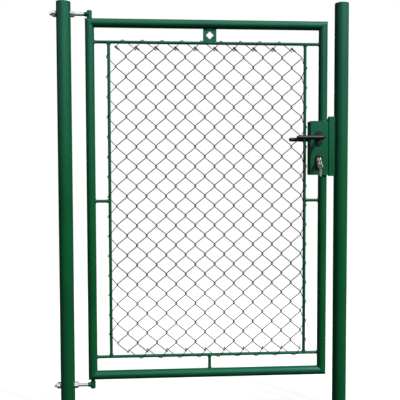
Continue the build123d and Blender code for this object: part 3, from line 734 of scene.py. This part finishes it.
def ripples(path, radius, seed):
    """Radius of a weld bead: its own size with even ripples and a slow unevenness."""
    phase = np.linspace(0, TURN, len(path))
    length = np.linalg.norm(np.diff(path, axis=0), axis=1).sum()
    count = max(6, round(length / RIPPLE_LENGTH))
    even, slow = np.cos(count * phase), np.sin(3 * phase + seed)
    return radius * (1 + RIPPLE * even + UNEVENNESS * slow)


def saddle_bead(centre, axis, along, rod_r, tube_r, radius, seed):
    """Weld bead where a rod, leaving along axis, meets a round tube that runs along 'along'.

    The line is where the two round surfaces cross: cos a of the rod's radius along the
    tube, sin a of it across, and the root of tube_r squared less the across part squared
    along the rod's axis.
    """
    axis, along = np.asarray(axis, float), np.asarray(along, float)
    across = np.cross(axis, along)
    angle = np.linspace(0, TURN, SADDLE_POINTS, endpoint=False)[:, None]
    lift = LIFT * radius
    ahead, side = (rod_r + lift) * np.cos(angle), (rod_r + lift) * np.sin(angle)
    rise = np.sqrt(np.maximum(tube_r ** 2 - side ** 2, 0)) + lift
    path = np.asarray(centre, float) + ahead * along + side * across + rise * axis
    return tube_along(path, ripples(path, radius, seed), BEAD_SIDES, closed=True, lead=axis)


def mitre_bead(corner, outwards, radius, seed):
    """Weld bead round the mitre of two frame tubes: the ellipse of the tube's cut."""
    corner, outwards = np.asarray(corner, float), np.asarray(outwards, float)
    angle = np.linspace(0, TURN, RING_POINTS, endpoint=False)[:, None]
    round_r = FRAME_R - SINK * radius
    away = np.array([0, 1.0, 0])
    path = corner + round_r * np.cos(angle) * outwards + round_r * np.sin(angle) * away
    return tube_along(path, ripples(path, radius, seed), BEAD_SIDES, closed=True,
                      lead=np.cross(outwards, away))


def line_bead(start, end, radius, seed):
    """Straight weld bead between two points, thinner towards its ends."""
    start, end = np.asarray(start, float), np.asarray(end, float)
    count = max(8, int(np.linalg.norm(end - start) / LINE_STEP))
    share = np.linspace(0, 1, count)[:, None]
    path = start + share * (end - start)
    taper = np.sqrt(np.clip(1.02 - (2 * share[:, 0] - 1) ** 8, 0.05, 1))
    return tube_along(path, ripples(path, radius, seed) * taper, BEAD_SIDES, lead=LINE_LEAD)


class GATE_OT_welds(bpy.types.Operator):
    """Lays the weld beads at the frame's, the rods' and the plates' joints"""

    bl_idname = "gate.welds"
    bl_label = "Weld beads"

    def execute(self, context):
        bead = context.scene.gate_sizes.bead
        right, left, up, down = (1, 0, 0), (-1, 0, 0), (0, 0, 1), (0, 0, -1)
        strut_z, strut_x = middle("hinge_side_strut", 2), middle("bottom_strut", 0)
        on_frame = (
            (HINGE_X, TOP_ROD_Z, right, up), (LOCK_X, TOP_ROD_Z, left, up),
            (HINGE_X, BOTTOM_ROD_Z, right, up), (LOCK_X, BOTTOM_ROD_Z, left, up),
            (HINGE_X, strut_z, right, up), (LOCK_X, strut_z, left, up),
            (strut_x, BOTTOM_RAIL_Z, up, right))
        on_rods = (
            (HINGE_ROD_X, strut_z, left, up), (LOCK_ROD_X, strut_z, right, up),
            (strut_x, BOTTOM_ROD_Z, down, right))
        mitres = (
            (HINGE_X, TOP_RAIL_Z, (-1, 0, 1)), (LOCK_X, TOP_RAIL_Z, (1, 0, 1)),
            (HINGE_X, BOTTOM_RAIL_Z, (-1, 0, -1)), (LOCK_X, BOTTOM_RAIL_Z, (1, 0, -1)))
        rod_corners = (
            (HINGE_ROD_X, TOP_ROD_Z, down), (LOCK_ROD_X, TOP_ROD_Z, down),
            (HINGE_ROD_X, BOTTOM_ROD_Z, up), (LOCK_ROD_X, BOTTOM_ROD_Z, up))
        pins = (("upper_hinge_pin", TOP_RAIL_Z, up), ("lower_hinge_pin", BOTTOM_RAIL_Z, down))
        over_rod = ROD_R + bead
        beads = []
        for seed, (x, z, way, along) in enumerate(on_frame, 1):
            beads.append(saddle_bead((x, 0, z), way, along, ROD_R, FRAME_R, bead, seed))
        for seed, (x, z, way, along) in enumerate(on_rods, 8):
            size = bead * STRUT_BEAD
            beads.append(saddle_bead((x, 0, z), way, along, ROD_R, over_rod, size, seed))
        for seed, (x, z, outwards) in enumerate(mitres):
            beads.append(mitre_bead((x, 0, z), outwards, bead * MITRE_BEAD, seed))
        for seed, (x, z, way) in enumerate(rod_corners, 20):
            size = bead * CORNER_BEAD
            beads.append(saddle_bead((x, 0, z), way, right, ROD_R, over_rod, size, seed))
        for pin, z, way in pins:
            pin_r = half_width(pin, 0)
            beads.append(saddle_bead((HINGE_X, 0, z), way, right, pin_r, FRAME_R, bead, seed=30))
        beads += self.plate_beads(bead) + self.case_beads(bead)
        add_piece("leaf_weld_beads", "green_coat", "leaf", beads)
        add_piece("strike_weld_beads", "green_coat", "posts", self.strike_beads(bead))
        return {"FINISHED"}

    def plate_beads(self, bead):
        """Short beads along the spacer plate's top and bottom, front and back."""
        left, right = PLATE_LOW[0] + PLATE_BEAD_INSET, PLATE_HIGH[0] - PLATE_BEAD_INSET
        spans = ((left, left + PLATE_BEAD_LENGTH, 41), (right - PLATE_BEAD_LENGTH, right, 42))
        heights = (TOP_RAIL_Z - FRAME_R - PLATE_BEAD_OFF, TOP_ROD_Z + ROD_R + PLATE_BEAD_OFF)
        beads = []
        for y in (PLATE_LOW[1], PLATE_HIGH[1]):
            for z in heights:
                for start, end, seed in spans:
                    beads.append(line_bead((start, y, z), (end, y, z), bead * PLATE_BEAD, seed))
        return beads

    def case_beads(self, bead):
        """Beads round the lock stile at the case's ends, and along the case's edges there."""
        angle = np.linspace(0, TURN, RING_POINTS, endpoint=False)[:, None]
        ring = FRAME_R * (np.cos(angle) * [1, 0, 0] + np.sin(angle) * [0, 1, 0])
        low_x, high_x = CASE_LOW[0] + bead, CASE_HIGH[0] - bead
        beads = []
        for z in (CASE_HIGH[2], CASE_LOW[2]):
            path = np.array([LOCK_X, 0, z]) + ring
            path[:, 0] = np.minimum(path[:, 0], high_x)
            size = ripples(path, bead, seed=50)
            beads.append(tube_along(path, size, BEAD_SIDES, closed=True, lead=(0, 0, 1)))
            for y in (CASE_LOW[1], CASE_HIGH[1]):
                beads.append(line_bead((low_x, y, z), (high_x, y, z), bead * CASE_BEAD, 60 + y))
        return beads

    def strike_beads(self, bead):
        """Beads down the strike plate's front flange where it meets the post."""
        x = POST_X - math.sqrt(POST_R ** 2 - STRIKE_LOW[1] ** 2)
        y = STRIKE_LOW[1] - STRIKE_BEAD_OFF
        low = STRIKE_LOW[2] + STRIKE_BEAD_INSET
        high = STRIKE_HIGH[2] - STRIKE_BEAD_INSET - STRIKE_BEAD_LENGTH
        return [
            line_bead((x, y, z), (x, y, z + STRIKE_BEAD_LENGTH), bead * STRIKE_BEAD, z)
            for z in (low, (low + high) / 2, high)
        ]


CUP_SIDES = 32
CUP_POWER = 0.45
STRIKE_WEB = 3 * MM
POCKET_GAP = 0.1 * MM
POCKET_MARGIN = 3 * MM
POCKET_DEPTH = 14 * MM
POCKET_WALL = 1.2 * MM


def cup(centre, half_tall, half_wide, depth, wall):
    """Cup with rounded corners, open towards -X.

    Each ring is a superellipse: the half sizes times cos a and sin a, each raised to the
    cup's power with its sign kept. The rings run from the middle of the outer floor over
    the rim to the middle of the inner one.
    """
    angle = (np.arange(CUP_SIDES) + 0.5) * TURN / CUP_SIDES
    wide, tall = [
        np.sign(part) * np.abs(part) ** CUP_POWER for part in (np.cos(angle), np.sin(angle))]
    # Share of the way from the floor to the rim, what the half sizes grow by, and scale
    stations = (
        (0.0, wall, 0.1), (0.0, wall, 1.0), (0.08, wall, 1.0), (1.0, wall, 1.0), (1.0, 0.0, 1.0),
        (0.16, 0.0, 1.0), (wall / depth, 0.0, 0.96), (wall / depth, 0.0, 0.1))
    rings = np.array([
        np.stack([np.full(CUP_SIDES, depth * (1 - share)), (half_wide + grow) * scale * wide,
                  (half_tall + grow) * scale * tall], -1)
        for share, grow, scale in stations
    ])
    centre = np.asarray(centre, float)
    return capped(centre + rings, centre + [depth, 0, 0], centre + [depth - wall, 0, 0])


class GATE_OT_slot_pockets(bpy.types.Operator):
    """Closes the strike plate's slots from behind with pressed pockets"""

    bl_idname = "gate.slot_pockets"
    bl_label = "Slot pockets"

    def execute(self, context):
        x = STRIKE_LOW[0] + STRIKE_WEB + POCKET_GAP
        cups = []
        for bolt in ("latch_bolt", "dead_bolt"):
            half_tall = half_width(bolt, 2) + POCKET_MARGIN
            half_wide = half_width(bolt, 1) + POCKET_MARGIN
            centre = (x, 0, middle(bolt, 2))
            cups.append(cup(centre, half_tall, half_wide, POCKET_DEPTH, POCKET_WALL))
        add_piece("strike_slot_pockets", "green_coat", "posts", cups)
        return {"FINISHED"}


# (radius, height) of a head from its rim to its recess, in shares of the head's radius
HEAD_PROFILE = np.array([
    (0.92, 0), (1.0, 0.06), (0.96, 0.14), (0.72, 0.19), (0.40, 0.22), (0.34, 0.20), (0.30, 0.07)])
HEAD_SIDES = 24
HEAD_SINK = 0.2 * MM
SCREW_ABOVE_LATCH = 36 * MM
SCREW_BELOW_BOLT = 44 * MM
RIVET_SIZE = 0.6              # of a screw head
RIVET_IN = 15.5 * MM
RIVET_DOWN = 64 * MM


class GATE_OT_screws(bpy.types.Operator):
    """Sets two screws in the lock case's edge and a rivet in the strike plate"""

    bl_idname = "gate.screws"
    bl_label = "Lock screws"

    def execute(self, context):
        profile = HEAD_PROFILE * context.scene.gate_sizes.screw_d / 2
        x = CASE_HIGH[0] - HEAD_SINK
        upper_z = middle("latch_bolt", 2) + SCREW_ABOVE_LATCH
        lower_z = middle("dead_bolt", 2) - SCREW_BELOW_BOLT
        heads = [
            turned(profile, (x, 0, z), (1, 0, 0), (0, 1, 0), HEAD_SIDES)
            for z in (upper_z, lower_z)
        ]
        add_piece("lock_edge_screws", "plated_steel", "leaf", heads)
        place = (STRIKE_LOW[0] + RIVET_IN, STRIKE_LOW[1] + HEAD_SINK, STRIKE_HIGH[2] - RIVET_DOWN)
        rivet = turned(profile * RIVET_SIZE, place, (0, -1, 0), (1, 0, 0), HEAD_SIDES)
        add_piece("strike_rivet", "green_coat", "posts", [rivet])
        return {"FINISHED"}


FLOOR_HALF = 14.0
PLAIN_FROM, PLAIN_TO = 2.2, 3.6     # metres from the middle, where the floor turns plain white
SENSOR = 36.0                       # millimetres wide


class GATE_OT_stage(bpy.types.Operator):
    """Sets the floor, the light and the camera"""

    bl_idname = "gate.stage"
    bl_label = "Stage"

    def execute(self, context):
        stage = context.scene.gate_stage
        self.floor()
        self.world(context.scene, stage)
        self.area("key_light", stage.key_place, target=(0.6, 0, 1.1), size=0.7,
                  power=stage.key_power, colour=(1.0, 0.99, 0.96))
        fill = self.area("fill_light", (-1.9, -1.3, 1.3), target=(0, 0, 1.0), size=0.8,
                         power=stage.fill_power, colour=(0.97, 1.0, 1.0))
        back = self.area("back_light", (0.6, 6.0, 3.6), target=(0.6, 0, 0.9), size=1.5,
                         power=stage.back_power, colour=(0.97, 1.0, 1.0))
        fill.visible_glossy = back.visible_glossy = False
        self.camera(context.scene, stage)
        context.scene.view_settings.view_transform = "Standard"
        return {"FINISHED"}

    def floor(self):
        """The camera sees a near-white floor with shadows; other rays meet a dark one."""
        far, near = FLOOR_HALF, -FLOOR_HALF
        corners = [(near, near, 0), (far, near, 0), (far, far, 0), (near, far, 0)]
        mesh = bpy.data.meshes.new("floor")
        mesh.from_pydata(corners, [], [(0, 1, 2, 3)])
        floor = bpy.data.objects.new("floor", mesh)
        bpy.context.scene.collection.objects.link(floor)
        finish = Finish("pale_floor")
        path = finish.node("ShaderNodeLightPath", output="Is Camera Ray")
        grain = finish.noise(6.0, 3.0) * 0.04 + 0.9
        dark = finish.node("ShaderNodeBsdfDiffuse", inputs={
            "Color": (0.055, 0.06, 0.055, 1), "Roughness": 0.9})
        pale = finish.mix(grain, (0.0, 0.0, 0.0), (0.26, 0.26, 0.26))
        lit = finish.node("ShaderNodeBsdfDiffuse", inputs={"Color": pale, "Roughness": 0.9})
        glow = finish.node("ShaderNodeEmission", inputs={"Color": (1, 1, 1, 1), "Strength": 0.92})
        seen = finish.node("ShaderNodeAddShader", inputs={0: lit, 1: glow})
        distance = finish.node(
            "ShaderNodeVectorMath", {"operation": "LENGTH"}, {0: finish.place}, "Value")
        far_off = distance.ramp(PLAIN_FROM, PLAIN_TO)
        plain = finish.node("ShaderNodeEmission", inputs={"Color": (1, 1, 1, 1), "Strength": 1.0})
        seen = finish.node("ShaderNodeMixShader", inputs={0: far_off, 1: seen, 2: plain})
        floor_shader = finish.node("ShaderNodeMixShader", inputs={0: path, 1: dark, 2: seen})
        finish.node("ShaderNodeOutputMaterial", inputs={"Surface": floor_shader})
        mesh.materials.append(finish.material)

    def world(self, scene, stage):
        """White to the camera; gloss mirrors a pale sky above the front and little behind."""
        scene.world = bpy.data.worlds.new("studio")
        scene.world.use_nodes = True
        nodes = Nodes(scene.world.node_tree)
        camera = nodes.node("ShaderNodeLightPath", output="Is Camera Ray")
        glossy = nodes.node("ShaderNodeLightPath", output="Is Glossy Ray")
        through = nodes.node("ShaderNodeLightPath", output="Is Transmission Ray")
        where = nodes.node("ShaderNodeTexCoord", output="Generated")
        split = nodes.node("ShaderNodeSeparateXYZ", inputs={0: where}).socket.node
        across, away, up = [Term(nodes, split.outputs[axis]) for axis in "XYZ"]
        high = up.ramp(-0.04, 0.24)
        front = 1 - away.ramp(-0.1, 0.35)
        side = across.ramp(-0.8, 0.5) * 0.75 + 0.25
        right_end = 1 - across.ramp(0.15, 0.9) * 0.55
        mirrored = nodes.mix(high * front * side * right_end, (0.02, 0.03, 0.025), stage.sky)
        soft = nodes.mix(
            up.ramp(-0.2, 1.0) * side, scaled(stage.haze, 0.6), scaled(stage.haze, 4.5))
        light = nodes.mix(glossy, soft, mirrored)
        light = nodes.mix(camera, light, (1.0, 1.0, 1.0))
        light = nodes.mix(through, light, (1.0, 1.0, 1.0))
        shader = nodes.node("ShaderNodeBackground", inputs={"Color": light, "Strength": 1.0})
        nodes.node("ShaderNodeOutputWorld", inputs={"Surface": shader})

    def area(self, name, place, target, size, power, colour):
        """Round lamp at a place, facing its target."""
        light = bpy.data.lights.new(name, "AREA")
        light.shape, light.size, light.energy, light.color = "DISK", size, power, colour
        lamp = bpy.data.objects.new(name, light)
        bpy.context.scene.collection.objects.link(lamp)
        lamp.location = place
        aim = np.array(target, float) - np.array(place, float)
        flat = math.hypot(aim[0], aim[1])
        lamp.rotation_euler = (math.atan2(flat, -aim[2]), 0, math.atan2(-aim[0], aim[1]))
        return lamp

    def camera(self, scene, stage):
        """Camera at the photograph's angle: turned by yaw, tipped by pitch, then rolled."""
        camera = bpy.data.cameras.new("camera")
        camera.sensor_width = SENSOR
        camera.lens = SENSOR * stage.lens
        holder = bpy.data.objects.new("camera", camera)
        scene.collection.objects.link(holder)
        yaw, pitch, roll = stage.yaw, stage.pitch, stage.roll
        flat = math.cos(pitch)
        ahead = np.array([math.sin(yaw) * flat, math.cos(yaw) * flat, -math.sin(pitch)])
        level = np.array([math.cos(yaw), -math.sin(yaw), 0.0])
        upright = np.cross(level, ahead)
        right = level * math.cos(roll) + upright * math.sin(roll)
        top = -level * math.sin(roll) + upright * math.cos(roll)
        turn = np.eye(4)
        turn[:3, 0], turn[:3, 1], turn[:3, 2], turn[:3, 3] = right, top, -ahead, stage.camera
        holder.matrix_world = Matrix(turn.tolist())
        scene.camera = holder


class GATE_PT_panel(bpy.types.Panel):
    """Lists the gate's pieces in the sidebar"""

    bl_idname = "GATE_PT_panel"
    bl_label = "Chain link gate"
    bl_space_type = "VIEW_3D"
    bl_region_type = "UI"
    bl_category = "Gate"

    def draw(self, context):
        for operator in STEPS:
            self.layout.operator(operator.bl_idname)
        scene = context.scene
        for group in (scene.gate_sizes, scene.gate_colours, scene.gate_stage):
            for name in group.__annotations__:
                self.layout.prop(group, name)


STEPS = (
    GATE_OT_finishes, GATE_OT_fabric, GATE_OT_twisted_ends, GATE_OT_lacings,
    GATE_OT_hinge_threads, GATE_OT_welds, GATE_OT_slot_pockets, GATE_OT_screws, GATE_OT_stage)
CLASSES = (GateSizes, GateColours, GateStage) + STEPS + (GATE_PT_panel,)


def register():
    for cls in CLASSES:
        bpy.utils.register_class(cls)
    bpy.types.Scene.gate_sizes = PointerProperty(type=GateSizes)
    bpy.types.Scene.gate_colours = PointerProperty(type=GateColours)
    bpy.types.Scene.gate_stage = PointerProperty(type=GateStage)


def unregister():
    del bpy.types.Scene.gate_sizes, bpy.types.Scene.gate_colours, bpy.types.Scene.gate_stage
    for cls in reversed(CLASSES):
        bpy.utils.unregister_class(cls)


def main():
    register()
    bpy.ops.gate.finishes()
    bpy.ops.gate.fabric()
    bpy.ops.gate.twisted_ends()
    bpy.ops.gate.lacings()
    bpy.ops.gate.hinge_threads()
    bpy.ops.gate.welds()
    bpy.ops.gate.slot_pockets()
    bpy.ops.gate.screws()
    bpy.ops.gate.stage()


if __name__ == "__main__":
    main()
